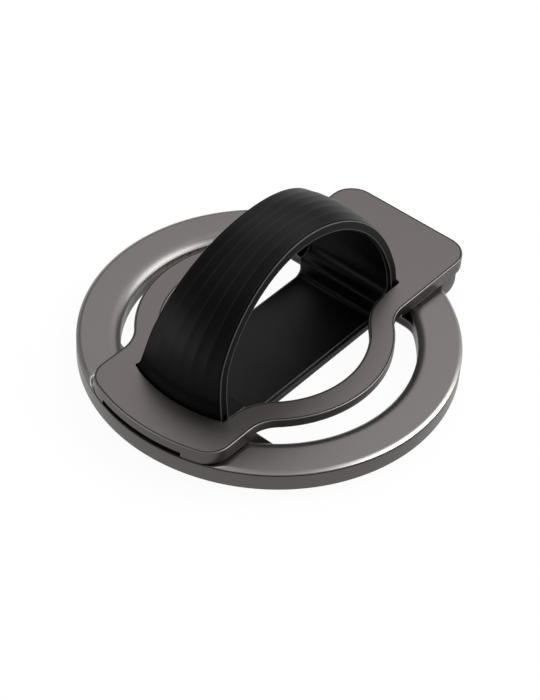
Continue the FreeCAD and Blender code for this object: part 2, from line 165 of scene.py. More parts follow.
def lay_floor():
    """Round floor that shows nearly white and keeps the soft shadow of the object. It is flat, and
    past a set radius it rises as the square of the distance from there, like a paper sweep."""
    flat = np.linspace(FLOOR_INNER_R, FLOOR_FLAT_R, 4)
    sweep = np.linspace(FLOOR_FLAT_R, FLOOR_RIM_R, 9)[1:]
    radius = np.concatenate([[FLOOR_MIDDLE_R], flat, sweep])
    rise = FLOOR_RIM_HEIGHT * (np.maximum(radius - FLOOR_FLAT_R, 0) / (FLOOR_RIM_R - FLOOR_FLAT_R)) ** 2
    turn = np.linspace(0, 2 * math.pi, FLOOR_COLUMNS, endpoint=False)[:, None]
    height = np.broadcast_to(rise - FLOOR_DROP, (FLOOR_COLUMNS, len(radius)))
    points = np.stack([radius * np.cos(turn), radius * np.sin(turn), height], -1).reshape(-1, 3)
    count = len(radius)
    first = (np.arange(FLOOR_COLUMNS)[:, None] * count + np.arange(count - 1)[None]).ravel()
    beside = (first + count) % (FLOOR_COLUMNS * count)
    faces = np.column_stack([first, first + 1, beside + 1, beside]).tolist()
    faces.append((np.arange(FLOOR_COLUMNS) * count).tolist())
    mesh = bpy.data.meshes.new("floor")
    mesh.from_pydata(points.tolist(), [], faces)
    floor = bpy.data.objects.new("floor", mesh)
    bpy.context.scene.collection.objects.link(floor)
    material = bpy.data.materials.new("pale_floor")
    material.use_nodes = True
    finish = Finish(material.node_tree)
    matt = finish.node("ShaderNodeBsdfDiffuse", inputs={"Color": FLOOR_GREY})
    white = finish.node("ShaderNodeEmission", inputs={"Color": WHITE, "Strength": 1.0})
    share = seen_directly(finish) * FLOOR_WHITE_SHARE
    mixed = finish.node("ShaderNodeMixShader", inputs={0: share, 1: matt, 2: white})
    finish.plug(material.node_tree.nodes["Material Output"].inputs["Surface"], mixed)
    mesh.materials.append(material)


def set_world():
    world = bpy.data.worlds.new("studio")
    bpy.context.scene.world = world
    world.use_nodes = True
    shade = world.node_tree.nodes["Background"]
    shade.inputs["Color"].default_value = WHITE
    shade.inputs["Strength"].default_value = WORLD_LEVEL


bpy.context.scene.view_settings.view_transform = "Standard"
set_camera()
lay_floor()
set_world()
soft_lamp("key_lamp", azimuth=140, elevation=47, distance=0.5, size=(0.38, 0.30), watts=2.3)
soft_lamp("back_lamp", azimuth=212, elevation=50, distance=0.6, size=(0.5, 0.4), watts=1.4)
soft_lamp("top_lamp", azimuth=-60, elevation=68, distance=0.6, size=(0.3, 0.3), watts=0.45)
soft_lamp("low_lamp", azimuth=-34, elevation=9, distance=0.6, size=(0.4, 0.14), watts=0.8)


# Base ring, the part that meets the phone: one die-cast metal ring, bead-blasted and plated a warm
# gunmetal grey. Its top has a large inner rounding, a recess for each tab of the stand, two low
# shelves inside and, at the rear, the knuckle that carries the hinge pin.
RING_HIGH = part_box("base_ring")[1] / MM
PAD_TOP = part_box("base_pad")[1].z / MM
RING_OUTER_R = RING_HIGH.x
RING_INNER_R = RING_OUTER_R - 6.7
RING_TOP = RING_HIGH.z
RING_WALL_TOP = RING_TOP - 0.3
RING_SLOPE = 0.55
RING_SLOPE_ROUND = 1.0
RING_EDGE_ROUND = 0.12
RING_FOOT_ROUND = 0.18
RING_FOOT_CHAMFER = 0.1
RIM_WIDTH = 1.82
RIM_DROP = 0.8
RIM_EDGE_ROUND = 0.09
RIM_MARGIN = 0.3
RING_LINE_HEIGHT = 0.15
RING_LINE_GAP = 0.02
LINE_WIDTH = 0.11
LINE_DEPTH = 0.10
LINE_BEVEL = 0.01
SHELF_TOP = PAD_TOP + 1.7
HOLE_R = RING_INNER_R + 0.08
FRONT_SHELF_Y = RING_INNER_R - 6.3
REAR_SHELF_Y = RING_INNER_R - 4.4
SHELF_CORNER_BLEND = 0.9
SHELF_EDGE_ROUND = 0.14
SHADE_MARGIN = 0.4
RECESS_FLOOR = RING_WALL_TOP - 0.1
RECESS_GAP = 0.2
RECESS_RAMP = 0.7
RECESS_BLEND = 0.12
TAB_HALF_WIDTH = 12.35
TAB_CORNER_R = 4.0
CORNER_X = TAB_HALF_WIDTH - TAB_CORNER_R
CORNER_REACH = RING_OUTER_R - TAB_CORNER_R
CORNER_Y = -math.sqrt(CORNER_REACH ** 2 - CORNER_X ** 2)
GROOVE_INNER_R = RING_INNER_R + 1.5
GROOVE_OUTER_R = RING_OUTER_R - 1.9
GROOVE_TOP = PAD_TOP + 1.7
HINGE_Y = RING_OUTER_R + 0.1
HINGE_Z = PAD_TOP + 1.4
KNUCKLE_R = 1.6
KNUCKLE_HALF_LENGTH = 9.5
KNUCKLE_ROOT = 3.0
KNUCKLE_ROOT_DROP = 0.05
KNUCKLE_LAP = 0.15
KNUCKLE_EDGE_ROUND = 0.12
SLEEVE_OUTER_R = 1.0
LUG_R = 1.9
LUG_OUTER_X = 12.0
LUG_INNER_X = 9.85
LUG_CLEARANCE = 0.25
RING_GREY = (0.099, 0.0915, 0.0895, 1.0)
# Painted light on the metal: a painted highlight colour and a painted shade colour, then the edge
# values for painted highlights on the outer slope, the inner rounding, the hole's crisp edge and the
# recess ramps, and for painted shade on the hole's wall.
METAL_PAINTED_HIGHLIGHT = (0.55, 0.54, 0.53, 1.0)
METAL_PAINTED_SHADE = (0.008, 0.007, 0.007, 1.0)
SLOPE_LIGHT_PLACES = [0, 0.06, RING_SLOPE - 0.15, RING_SLOPE + 0.1]
SLOPE_LIGHT = [0, 0.7, 0.35, 0]
ROUNDING_LIGHT = 0.3
RIM_LIGHT = 0.4
RIM_SHADE = 0.8
RAMP_LIGHT = 0.35
RAMP_LIGHT_DEPTH = 0.03
MERGE_DISTANCE = 0.0002
SHARP_ANGLE = math.radians(50)


def fillet_path(corners, radii, steps):
    """Points along straight runs whose inner corners are rounded: each round starts and ends where
    a circle of that radius touches the two runs, at radius * tan(half the turn) from the corner."""
    places = [np.array(corners[0], float)[None]]
    for before, corner, after, radius in zip(corners, corners[1:], corners[2:], radii):
        corner = np.array(corner, float)
        back = np.array(before, float) - corner
        ahead = np.array(after, float) - corner
        back /= np.linalg.norm(back)
        ahead /= np.linalg.norm(ahead)
        opening = math.acos(np.clip(back @ ahead, -1, 1))
        reach = radius / math.tan(opening / 2)
        middle = back + ahead
        centre = corner + middle / np.linalg.norm(middle) * radius / math.sin(opening / 2)
        start = corner + back * reach - centre
        end = corner + ahead * reach - centre
        share = np.linspace(0, 1, steps + 1)[:, None]
        turn = math.pi - opening
        arc = (np.sin((1 - share) * turn) * start + np.sin(share * turn) * end) / math.sin(turn)
        places.append(centre + arc)
    places.append(np.array(corners[-1], float)[None])
    return np.concatenate(places)


def smooth_min(first, second, blend):
    """The smaller of two values, rounded where they are within blend of each other."""
    share = np.clip(0.5 + 0.5 * (second - first) / blend, 0, 1)
    return second * (1 - share) + first * share - blend * share * (1 - share)


def smooth_max(first, second, blend):
    """The larger of two values, rounded likewise."""
    return -smooth_min(-first, -second, blend)


def quarter_round(radius, steps):
    """Points down a quarter circle as (inset, drop): radius * (1 - sin, 1 - cos) of the tilt, which
    runs from 0, level with the face and furthest in, to 90 degrees."""
    tilts = np.linspace(0, math.pi / 2, steps + 1)
    return [(radius * (1 - math.sin(tilt)), radius * (1 - math.cos(tilt))) for tilt in tilts]


def loft(rings, closed=True):
    """Shell through a (rings, points, 3) array. Each ring closes on itself. The run of rings closes
    too, or else a pole at the middle of the first and of the last ring closes it."""
    count, width = rings.shape[:2]
    points = rings.reshape(-1, 3)
    along = np.arange(count if closed else count - 1)[:, None]
    across = np.arange(width)[None]
    ahead = (along + 1) % count
    beside = (across + 1) % width
    quads = [along * width + across, along * width + beside,
             ahead * width + beside, ahead * width + across]
    faces = np.stack(quads, -1).reshape(-1, 4).tolist()
    if not closed:
        poles = np.stack([rings[0].mean(0), rings[-1].mean(0)])
        first = len(points)
        last = (count - 1) * width
        points = np.concatenate([points, poles])
        for number in range(width):
            beside = (number + 1) % width
            faces.append((first, beside, number))
            faces.append((first + 1, last + number, last + beside))
    return points, faces


def make_mesh(name, shells):
    """One mesh of several shells in millimetres, its doubles merged and its faces turned outwards.
    A shell may bring a third array, its "edge" value at each point: up to 1 for a painted
    highlight along an edge, and down to -1 for painted shade in a fine line."""
    points = np.concatenate([shell[0] for shell in shells]) * MM
    faces = []
    start = 0
    for shell in shells:
        faces += [[start + index for index in face] for face in shell[1]]
        start += len(shell[0])
    mesh = bpy.data.meshes.new(name)
    mesh.from_pydata(points.tolist(), [], faces)
    marks = [shell[2] if len(shell) > 2 else np.zeros(len(shell[0])) for shell in shells]
    mesh.attributes.new("edge", "FLOAT", "POINT").data.foreach_set("value", np.concatenate(marks))
    work = bmesh.new()
    work.from_mesh(mesh)
    bmesh.ops.remove_doubles(work, verts=work.verts, dist=MERGE_DISTANCE * MM)
    bmesh.ops.recalc_face_normals(work, faces=work.faces)
    work.to_mesh(mesh)
    work.free()
    mesh.shade_smooth()
    mesh.set_sharp_from_angle(angle=SHARP_ANGLE)
    return mesh


def make_piece(name, mesh, material, body, slot, *nodes):
    """An object that rides on a body and stands for the CAD nodes that are named."""
    piece = bpy.data.objects.new(name, mesh)
    bpy.context.scene.collection.objects.link(piece)
    mesh.materials.clear()
    mesh.materials.append(material)
    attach(piece, body)
    for node in nodes:
        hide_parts(node)


def principled(name, colour, metallic, roughness):
    """A new material and its wiring, with a Principled shader set to those values."""
    material = bpy.data.materials.new(name)
    material.use_nodes = True
    shader = material.node_tree.nodes["Principled BSDF"]
    shader.inputs["Base Color"].default_value = colour
    shader.inputs["Metallic"].default_value = metallic
    shader.inputs["Roughness"].default_value = roughness
    return material, Finish(material.node_tree), shader


def colour_mix(finish, share, first, second):
    """A colour that runs from the first to the second as the share runs from 0 to 1."""
    sockets = {"Factor": share, 6: first, 7: second}
    return finish.node("ShaderNodeMix", {"data_type": "RGBA"}, sockets, output=2)


def noise(finish, scale, detail):
    """Noise that is fixed to the piece, 0.5 on average."""
    place = finish.node("ShaderNodeTexCoord", output="Object")
    return finish.node("ShaderNodeTexNoise", inputs={"Vector": place, "Scale": scale, "Detail": detail})


def uneven_gloss(finish, shader, roughness, *drifts):
    """Roughness about a mean: each drift, a noise and its share, adds share * (noise - 0.5)."""
    total = roughness - sum(share for pattern, share in drifts) / 2
    for pattern, share in drifts:
        total = pattern * share + total
    finish.plug(shader.inputs["Roughness"], total)


def fine_bump(finish, shader, pattern, height, strength):
    """Relief of that height in millimetres, which follows a noise."""
    relief = {"Strength": strength, "Distance": height * MM, "Height": pattern}
    finish.plug(shader.inputs["Normal"], finish.node("ShaderNodeBump", inputs=relief))


def paint_edge_light(finish, shader, tone, bright, dark):
    """Base colour with painted light: a painted highlight where the edge value is above 0, and painted
    shade in the fine lines where it is below 0.
    """
    edge = finish.node("ShaderNodeAttribute", {"attribute_name": "edge"}, output="Fac")
    raised = finish.maths("MAXIMUM", edge, 0.0)
    # Above 0 the colour turns to the painted highlight colour, below 0 to the painted shade colour.
    sunk = finish.maths("MAXIMUM", 0.0 - edge, 0.0)
    highlighted = colour_mix(finish, raised, tone, bright)
    finish.plug(shader.inputs["Base Color"], colour_mix(finish, sunk, highlighted, dark))


def satin_metal(name, colour, roughness):
    """Bead-blasted plated metal: a very fine grain, and a slow drift in tone and in gloss."""
    material, finish, shader = principled(name, colour, 1.0, roughness)
    drift = noise(finish, scale=45.0, detail=2.0)
    grain = noise(finish, scale=7000.0, detail=2.0)
    darker = [channel * 0.94 for channel in colour[:3]] + [1.0]
    lighter = [channel * 1.06 for channel in colour[:3]] + [1.0]
    # Edges get painted highlights and fine lines get painted shade, by the edge value.
    paint_edge_light(finish, shader, colour_mix(finish, drift, darker, lighter), METAL_PAINTED_HIGHLIGHT, METAL_PAINTED_SHADE)
    uneven_gloss(finish, shader, roughness, (drift, 0.05), (grain, 0.06))
    fine_bump(finish, shader, grain, height=0.004, strength=0.2)
    return material


def recess_edge(radii, margin, front):
    """Angle at which a circle of each radius crosses the line that lies a margin outside the recess:
    a straight line beside the tab and, at the front, an arc about the centre of its corner."""
    half = TAB_HALF_WIDTH + RECESS_GAP + margin
    straight = np.arcsin(half / radii)
    corner_r = TAB_CORNER_R + RECESS_GAP + margin
    opening = (radii ** 2 + CORNER_REACH ** 2 - corner_r ** 2) / (2 * CORNER_REACH * radii)
    bend = math.asin(CORNER_X / CORNER_REACH) + np.arccos(np.clip(opening, -1, 1))
    past = radii > math.hypot(half, CORNER_Y)
    return np.where(past & front, bend, straight)


def ring_angles(radii):
    """Angles of the ring's columns at each radius, from the front towards the right. The columns
    follow both edges of the ramps that lead out of the recesses."""
    turn = math.pi
    floor = recess_edge(radii, 0, True)
    brow = recess_edge(radii, RECESS_RAMP, True)
    rear_floor = recess_edge(radii, 0, False)
    rear_brow = recess_edge(radii, RECESS_RAMP, False)
    keys = np.stack([-floor, floor, brow, turn - rear_brow, turn - rear_floor, turn + rear_floor,
                     turn + rear_brow, 2 * turn - brow, 2 * turn - floor])
    columns = [56, 14, 150, 12, 48, 12, 150, 14]
    sector = np.repeat(np.arange(len(columns)), columns)
    share = np.concatenate([np.arange(count) / count for count in columns])[:, None]
    return keys[sector] * (1 - share) + keys[sector + 1] * share


def shelf_edge(angles):
    """Distance of the hole's edge from the centre: the round wall, or the straight edge of a shelf
    where that is nearer, with the corner between them blended. The straight edge's distance is its
    own y over the cosine of the angle, which is kept from 0 at the sides."""
    toward_front = np.cos(angles)
    straight = np.where(toward_front > 0, FRONT_SHELF_Y, REAR_SHELF_Y)
    edge = straight / np.maximum(np.abs(toward_front), 0.05)
    return np.minimum(smooth_min(edge, np.full_like(edge, HOLE_R), SHELF_CORNER_BLEND), HOLE_R)


def ring_section():
    """Section of the ring from the magnet groove round the outside to its inner wall, and the edge
    value at each of its points. The inner rounding is an arc of radius
    (width ** 2 + drop ** 2) / (2 * drop), ended by a crisp edge."""
    line_top = RING_WALL_TOP - RING_EDGE_ROUND - RING_LINE_GAP
    line_low = line_top - RING_LINE_HEIGHT
    floor = RING_OUTER_R - LINE_DEPTH
    below = fillet_path([(GROOVE_OUTER_R, PAD_TOP), (RING_OUTER_R, PAD_TOP), (RING_OUTER_R, line_low)],
                        [RING_FOOT_ROUND], steps=6)
    line = np.array([(floor, line_low + LINE_BEVEL), (floor, line_top - LINE_BEVEL)])
    above = fillet_path(
        [(RING_OUTER_R, line_top), (RING_OUTER_R, RING_WALL_TOP), (RING_OUTER_R - RING_SLOPE, RING_TOP),
         (HOLE_R + RIM_WIDTH + RIM_MARGIN, RING_TOP)], [RING_EDGE_ROUND, RING_SLOPE_ROUND], steps=10)
    rim_r = (RIM_WIDTH ** 2 + RIM_DROP ** 2) / (2 * RIM_DROP)
    sweep = np.linspace(0, math.asin(RIM_WIDTH / rim_r), 18)
    rim_x = HOLE_R + RIM_WIDTH - rim_r * np.sin(sweep)
    rim = np.column_stack([rim_x, RING_TOP - rim_r * (1 - np.cos(sweep))])
    edge = fillet_path([rim[-2], rim[-1], (HOLE_R, SHELF_TOP)], [RIM_EDGE_ROUND], steps=6)
    # Edge values: painted shade in the fine line on the outer wall, painted highlights on the outer
    # slope, the inner rounding and the crisp edge, and painted shade on the wall below that edge.
    slope_marks = np.interp(RING_OUTER_R - above[:, 0], SLOPE_LIGHT_PLACES, SLOPE_LIGHT)
    rounding_marks = ROUNDING_LIGHT * np.linspace(0, 1, len(rim) - 2) ** 2
    edge_marks = np.interp(np.arange(len(edge)), [0, 2, 5], [RIM_LIGHT, RIM_LIGHT, -RIM_SHADE])
    marks = np.concatenate([np.zeros(len(below)), [-1, -1], slope_marks, rounding_marks, edge_marks])
    return np.concatenate([below, line, above, rim[:-2], edge]), marks


def ring_shell():
    """Grid of columns round the ring and stations round its section. The top follows the section or
    the recess, whichever is lower, with a small blend between them. The recess slopes up with the
    distance outside the tab's outline, hypot(x - corner x, y - corner y) at its round corners. The
    shelves, the hole's wall and the groove follow as rows of (radius, height, edge value)."""
    section, marks = ring_section()
    radii = section[:, 0]
    angles = ring_angles(radii)
    aside = np.abs(radii * np.sin(angles)) - CORNER_X
    past = np.maximum(CORNER_Y + radii * np.cos(angles), 0)
    outside = np.where(aside > 0, np.hypot(aside, past), aside) - TAB_CORNER_R - RECESS_GAP
    ramp = outside * (RING_TOP - RECESS_FLOOR) / RECESS_RAMP
    recess = RECESS_FLOOR + smooth_max(ramp, np.zeros_like(ramp), RECESS_BLEND)
    height = smooth_min(np.broadcast_to(section[:, 1], recess.shape), recess, RECESS_BLEND)
    height = np.where(section[:, 1] < RECESS_FLOOR - RECESS_BLEND, section[:, 1], height)
    radius = np.broadcast_to(radii, angles.shape)

    wall = ring_angles(np.array([HOLE_R]))[:, 0]
    edge = shelf_edge(wall)
    depth = HOLE_R - edge
    lip = np.minimum(depth, SHELF_EDGE_ROUND)
    rows = [(edge + lip + (depth - lip) * share, SHELF_TOP, 0) for share in (0.66, 0.33, 0.05)]
    rounds = quarter_round(1, steps=3)
    rows += [(edge + lip * inset, SHELF_TOP - lip * drop, 0) for inset, drop in rounds]
    # Painted shade on the hole's wall.
    rows += [(edge, SHELF_TOP - SHADE_MARGIN, -RIM_SHADE),
             (edge, PAD_TOP + SHADE_MARGIN, -RIM_SHADE),
             (edge, PAD_TOP + RING_FOOT_CHAMFER, 0),
             (edge + RING_FOOT_CHAMFER, PAD_TOP, 0),
             (GROOVE_INNER_R, PAD_TOP, 0),
             (GROOVE_INNER_R, GROOVE_TOP, 0),
             (GROOVE_OUTER_R, GROOVE_TOP, 0)]
    inner_radius = np.stack([np.broadcast_to(row[0], wall.shape) for row in rows], 1)
    inner_height = np.stack([np.broadcast_to(row[1], wall.shape) for row in rows], 1)
    inner_marks = np.broadcast_to([row[2] for row in rows], inner_radius.shape)
    inner_angles = np.broadcast_to(wall[:, None], inner_radius.shape)

    radius = np.concatenate([radius, inner_radius], 1)
    angles = np.concatenate([angles, inner_angles], 1)
    height = np.concatenate([height, inner_height], 1)
    x = radius * np.sin(angles)
    y = -radius * np.cos(angles)
    beside_knuckle = np.abs(x) > KNUCKLE_HALF_LENGTH - KNUCKLE_LAP
    y = np.where(beside_knuckle, np.minimum(y, HINGE_Y - LUG_R - LUG_CLEARANCE), y)
    points, faces = loft(np.stack([x, y, height], -1))
    # Painted highlight on the recess ramps, which brightens them where the tabs shade them; no painted
    # light elsewhere in the recess.
    top = section[:, 1] > RECESS_FLOOR - RECESS_BLEND
    recessed = top & (height[:, :len(section)] < section[:, 1] - RAMP_LIGHT_DEPTH)
    marks = np.where(recessed, np.where(outside > 0, RAMP_LIGHT, 0), marks)
    return points, faces, np.concatenate([marks, inner_marks], 1).ravel()


def mitred_normals(path):
    """Normals to the right of a closed run of points, lengthened at corners, to twice at most, so
    that a run moved along them stays parallel."""
    ahead = np.roll(path, -1, 0) - path
    ahead /= np.linalg.norm(ahead, axis=1, keepdims=True)
    behind = np.roll(ahead, 1, 0)
    right_ahead = np.stack([ahead[:, 1], -ahead[:, 0]], 1)
    right_behind = np.stack([behind[:, 1], -behind[:, 0]], 1)
    middle = right_ahead + right_behind
    middle /= np.linalg.norm(middle, axis=1, keepdims=True)
    return middle / np.maximum((middle * right_ahead).sum(1, keepdims=True), 0.5)


def hinge_bar(outline, bore_r, x_start, x_end, edge_round, blind_end=None):
    """A bar along the hinge axis with rounded end edges and a bore. The outline is a run of (y, z)
    points, and each point of the bore lies on the line from the axis to its outline point. With a
    blind end, the bore stops there and the far face is whole."""
    axis = np.array([HINGE_Y, HINGE_Z])
    spokes = outline - axis
    inward = mitred_normals(outline)
    if (inward * spokes).sum() > 0:
        inward = -inward
    bore = axis + spokes / np.linalg.norm(spokes, axis=1, keepdims=True) * bore_r
    step = math.copysign(1.0, x_end - x_start)
    rounds = quarter_round(edge_round, steps=3)
    rings = [(x_start + step * drop, outline + inward * inset) for inset, drop in rounds]
    rings += [(x_end - step * inset, outline + inward * drop) for inset, drop in rounds]
    if blind_end is None:
        rings += [(x_end, bore), (x_start, bore)]
    else:
        rings = [(blind_end, bore), (x_start, bore)] + rings
    places = [np.column_stack([np.full(len(ring), x), ring]) for x, ring in rings]
    return loft(np.stack(places), closed=blind_end is None)


def knuckle_shell():
    """The knuckle: a block out of the ring's wall that ends in a round bar about the hinge axis."""
    root_y = HINGE_Y - KNUCKLE_ROOT
    root_top = RECESS_FLOOR - KNUCKLE_ROOT_DROP
    under = -math.acos((HINGE_Z - PAD_TOP) / KNUCKLE_R) - math.pi / 2
    sweep = np.linspace(under, math.pi / 2, 40)
    height = HINGE_Z + KNUCKLE_R * np.sin(sweep)
    round_end = np.column_stack([HINGE_Y + KNUCKLE_R * np.cos(sweep), height])
    top = np.linspace((HINGE_Y, HINGE_Z + KNUCKLE_R), (root_y, root_top), 8)[1:]
    root = np.linspace((root_y, root_top), (root_y, PAD_TOP), 8)[1:]
    bottom = np.linspace((root_y, PAD_TOP), round_end[0], 8)[1:-1]
    outline = np.concatenate([round_end, top, root, bottom])
    half = KNUCKLE_HALF_LENGTH
    return hinge_bar(outline, SLEEVE_OUTER_R, -half, half, KNUCKLE_EDGE_ROUND)


ring_metal = satin_metal("gunmetal_ring", RING_GREY, roughness=0.36)
ring_mesh = make_mesh("base_ring_casting", [ring_shell(), knuckle_shell()])
make_piece("base_ring_casting", ring_mesh, ring_metal, "base", "satin_gunmetal", "base_ring")


# Grip pad under the ring: a soft dark silicone ring, moulded with rounded edges and glued on, set in
# from both walls. It keeps the metal off the phone.
PAD_INNER_R = RING_INNER_R + 1.5
PAD_OUTER_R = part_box("base_pad")[1].x / MM
PAD_ROUND = 0.22
PAD_GREY = (0.030, 0.030, 0.031, 1.0)
# Colours for painted light on the silicone: a painted highlight and painted shade.
RUBBER_PAINTED_HIGHLIGHT = (0.095, 0.095, 0.095, 1.0)
RUBBER_PAINTED_SHADE = (0.0, 0.0, 0.0, 1.0)


def turned_shell(section, columns):
    """A closed section of (radius, height) points, turned about Z."""
    angles = np.linspace(0, 2 * math.pi, columns, endpoint=False)[:, None]
    x = section[:, 0] * np.cos(angles)
    y = section[:, 0] * np.sin(angles)
    return loft(np.stack([x, y, np.broadcast_to(section[:, 1], x.shape)], -1))


def soft_rubber(name, colour, roughness, specular, grain_size, grain_height):
    """Matt moulded silicone: a fine even grain left by the mould, and slightly uneven gloss. Grain
    size and height are in millimetres."""
    material, finish, shader = principled(name, colour, 0.0, roughness)
    grain = noise(finish, scale=1 / (grain_size * MM), detail=3.0)
    cloud = noise(finish, scale=120.0, detail=2.0)
    # Painted highlights and painted shade follow the edge value.
    paint_edge_light(finish, shader, colour, RUBBER_PAINTED_HIGHLIGHT, RUBBER_PAINTED_SHADE)
    uneven_gloss(finish, shader, roughness, (cloud, 0.10), (grain, 0.06))
    fine_bump(finish, shader, grain, grain_height, strength=0.3)
    shader.inputs["Specular IOR Level"].default_value = specular
    return material


pad_middle_r = (PAD_INNER_R + PAD_OUTER_R) / 2
pad_section = fillet_path(
    [(pad_middle_r, 0), (PAD_OUTER_R, 0), (PAD_OUTER_R, PAD_TOP), (PAD_INNER_R, PAD_TOP),
     (PAD_INNER_R, 0), (pad_middle_r, 0)], [PAD_ROUND] * 4, steps=5)[:-1]
pad_rubber = soft_rubber("pad_silicone_dark", PAD_GREY, roughness=0.62, specular=0.5,
                         grain_size=0.12, grain_height=0.006)
pad_mesh = make_mesh("grip_pad", [turned_shell(pad_section, columns=240)])
make_piece("grip_pad", pad_mesh, pad_rubber, "base", "pad_silicone", "base_pad")


# Stand frame: one flat metal plate with a thick tab at each end and two thin bowed arms, milled round
# its edges and plated like the ring but a shade darker. Two ears under the rear tab carry the pin.
FRAME_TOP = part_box("stand_frame")[1].z / MM
FRAME_REAR_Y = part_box("stand_frame")[1].y / MM
TAB_BOTTOM = RECESS_FLOOR + 0.15
ARM_BOTTOM = FRAME_TOP - 1.52
ARM_WIDTH = 3.85
BOW_R = RING_INNER_R - 2.8
BOW_Y = -1.3
NECK_R = 6.05
LOOP_R = RING_INNER_R - 0.4
SLOT_R = LOOP_R + 0.2
SLOT_RELIEF_R = 0.34
SLOT_RELIEF_X = -8.25
SLOT_RELIEF_Y = 20.2
SLOT_RELIEF_SIDES = 32
FRAME_EDGE_ROUND = 0.16
FRAME_FOOT_ROUND = 0.08
NOTCH_LEFT = -8.1
NOTCH_RIGHT = 7.2
NOTCH_HEIGHT = 0.8
NOTCH_DEPTH = 1.0
EAR_ROUND = 0.25
EAR_SINK = 0.5
PIN_R = 0.7
PIN_BLIND_X = 11.35
STRIP_BOTTOM = TAB_BOTTOM + 0.3
STRIP_TOP = STRIP_BOTTOM + 0.5
POCKET_TOP = STRIP_BOTTOM + 1.2
POCKET_INNER_Y = 20.4
STRIP_POCKET_HALF_WIDTH = 9.05
STRIP_POCKET_OUTER_Y = 26.4
FLANGE_POCKET_HALF_WIDTH = 8.2
FLANGE_POCKET_OUTER_Y = 24.05
FRAME_ROW_GAP = 0.06
FRAME_LINE_INSET = 0.03
FRAME_FLAT_INSET = 0.3
# Edge values: painted highlights on the rounded top and foot edges, and painted shade in the fine lines
# on the top.
FRAME_EDGE_LIGHT = [0, 0.08, 0.18, 0.18, 0.08, 0]
FRAME_FOOT_LIGHT = [0, 0, 0.2, 0.2, 0, 0]
FRAME_LINE_SHADE = [-0.5, -1, -1, -0.5, 0]
FRAME_GREY = (0.086, 0.0785, 0.0768, 1.0)


def arc(centre, radius, start, end, count):
    """Points on a circular arc between two angles in radians, both ends included."""
    sweep = np.linspace(start, end, count)
    return np.column_stack([centre[0] + radius * np.cos(sweep), centre[1] + radius * np.sin(sweep)])


def resampled(path, count):
    """The same run with its points spread evenly by length, and its own corners kept nearly exact."""
    length = np.concatenate([[0], np.cumsum(np.linalg.norm(np.diff(path, axis=0), axis=1))])
    wanted = np.linspace(0, length[-1], count)
    return np.column_stack([np.interp(wanted, length, path[:, axis]) for axis in (0, 1)])


def frame_half():
    """Right half of the frame from the middle of its front to the middle of its rear: the outer
    run, the slot's run beside it, and the level of the underside. Tab runs are matched by length,
    and the necks and the bow are concentric."""
    neck_x = TAB_HALF_WIDTH + NECK_R
    slot_x = TAB_HALF_WIDTH - ARM_WIDTH
    reach = math.sqrt((BOW_R + NECK_R) ** 2 - neck_x ** 2)
    neck_turn = math.atan2(reach, neck_x)
    slot_turn = math.acos(slot_x / SLOT_R)
    half = math.pi / 2
    outer_runs = []
    inner_runs = []
    lows = []
    corner_turn = math.atan2(CORNER_Y, CORNER_X)
    front_y = BOW_Y - reach
    rear_y = BOW_Y + reach
    front_outer = np.concatenate([
        arc((0, 0), RING_OUTER_R, -half, corner_turn, 60)[:-1],
        arc((CORNER_X, CORNER_Y), TAB_CORNER_R, corner_turn, 0, 40),
        [(TAB_HALF_WIDTH, front_y)]])
    front_inner = np.concatenate([arc((0, 0), SLOT_R, -half, -slot_turn, 60), [(slot_x, front_y)]])
    rear_outer = np.concatenate([
        [(TAB_HALF_WIDTH, rear_y)],
        arc((CORNER_X, FRAME_REAR_Y - TAB_CORNER_R), TAB_CORNER_R, 0, half, 40),
        [(0, FRAME_REAR_Y)]])
    rear_inner = np.concatenate([[(slot_x, rear_y)], arc((0, 0), SLOT_R, slot_turn, half, 60)])
    tab_count = 90
    outer_runs.append(resampled(front_outer, tab_count))
    inner_runs.append(resampled(front_inner, tab_count))
    lows.append(np.full(tab_count, TAB_BOTTOM))
    bends = [((neck_x, front_y), NECK_R, NECK_R + ARM_WIDTH, math.pi, math.pi - neck_turn, 30),
             ((0, BOW_Y), BOW_R, BOW_R - ARM_WIDTH, -neck_turn, neck_turn, 80),
             ((neck_x, rear_y), NECK_R, NECK_R + ARM_WIDTH, math.pi + neck_turn, math.pi, 30)]
    for centre, outer_r, inner_r, start, end, count in bends:
        outer_runs.append(arc(centre, outer_r, start, end, count))
        inner_runs.append(arc(centre, inner_r, start, end, count))
        lows.append(np.full(count, ARM_BOTTOM))
    outer_runs.append(resampled(rear_outer, tab_count))
    inner_runs.append(resampled(rear_inner, tab_count))
    lows.append(np.full(tab_count, TAB_BOTTOM))
    return np.concatenate(outer_runs), np.concatenate(inner_runs), np.concatenate(lows)


def parallel_run(path, distance):
    """A closed run moved sideways. Points that repeat their neighbour take its normal."""
    step = np.linalg.norm(np.roll(path, -1, 0) - path, axis=1)
    single = step > 1e-6
    normals = mitred_normals(path[single])
    place = np.minimum(np.cumsum(single) - single, single.sum() - 1)
    return path + normals[place] * distance


def fine_line(start, width):
    """Section across a fine line cut beside an edge, as (distance from the edge, depth)."""
    end = start + width
    return [(start, 0), (start + LINE_BEVEL, LINE_DEPTH), (end - LINE_BEVEL, LINE_DEPTH), (end, 0)]


